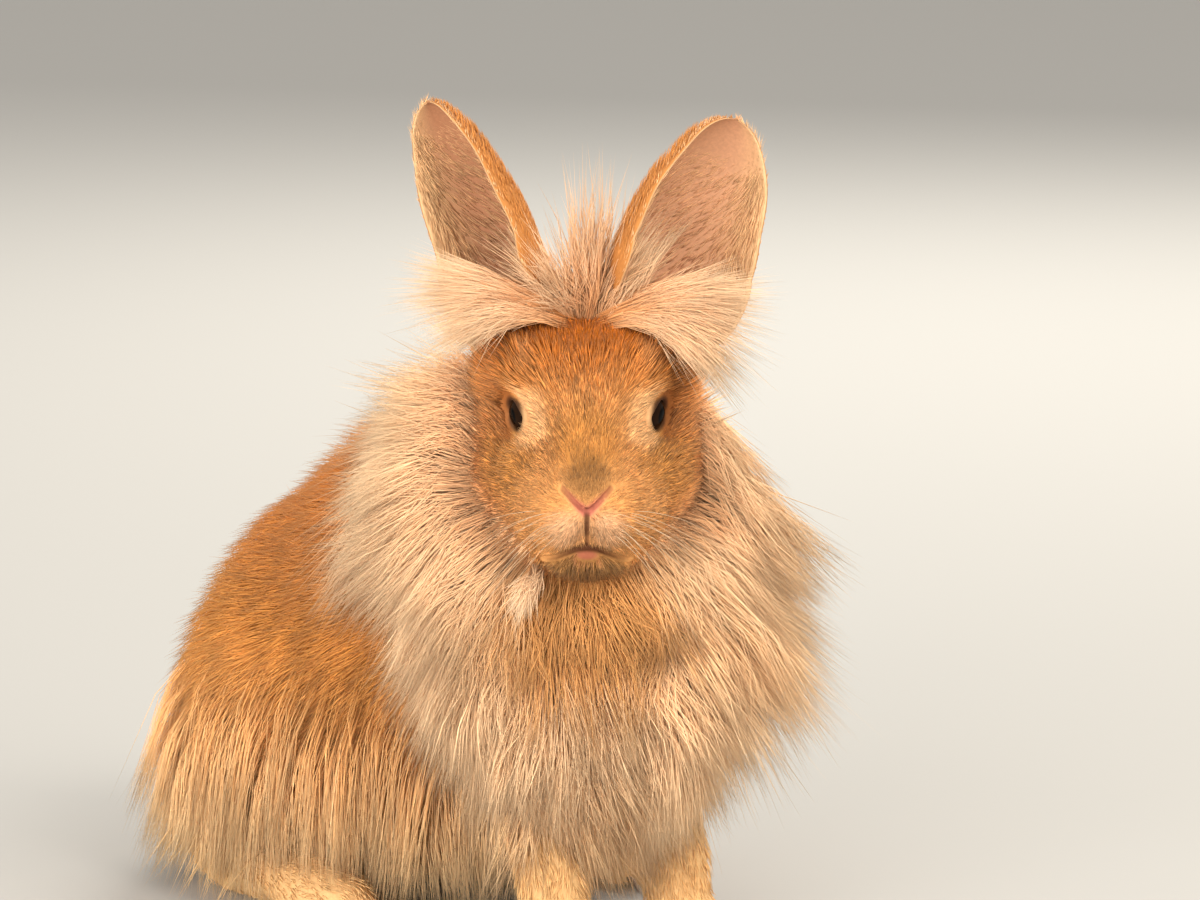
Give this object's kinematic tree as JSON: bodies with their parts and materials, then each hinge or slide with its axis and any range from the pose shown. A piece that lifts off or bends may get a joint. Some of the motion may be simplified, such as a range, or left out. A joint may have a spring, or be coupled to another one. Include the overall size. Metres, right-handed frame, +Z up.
{
  "type": "lionhead rabbit",
  "caption": "Life-size still model of a lionhead rabbit sitting up on straight forelegs with its head turned aside, with a full mane and upright ears.",
  "frame": {"origin": "on the floor, under the middle of the model's box", "axes": "+Z up, -Y the way the body faces, +X the rabbit's left"},
  "size_m": [0.1794, 0.3176, 0.2987],
  "materials": {
    "head_coat": "short orange fur",
    "ear_coat": "short orange fur, paler and pinkish inside",
    "eye": "wet gloss, near black",
    "mane_coat": "long cream and orange hair",
    "body_coat": "dense orange coat of medium length",
    "leg_coat": "short orange fur",
    "tail_coat": "fluffy cream and orange hair"
  },
  "bodies": {
    "root": {"head": "head_coat", "ear_left": "ear_coat", "ear_right": "ear_coat", "eye_left": "eye", "eye_right": "eye", "neck": "mane_coat", "chest": "body_coat", "torso": "body_coat", "thigh_left": "body_coat", "thigh_right": "body_coat", "foreleg_left": "leg_coat", "foreleg_right": "leg_coat", "hindfoot_left": "leg_coat", "hindfoot_right": "leg_coat", "tail": "tail_coat"}
  },
  "joints": []
}
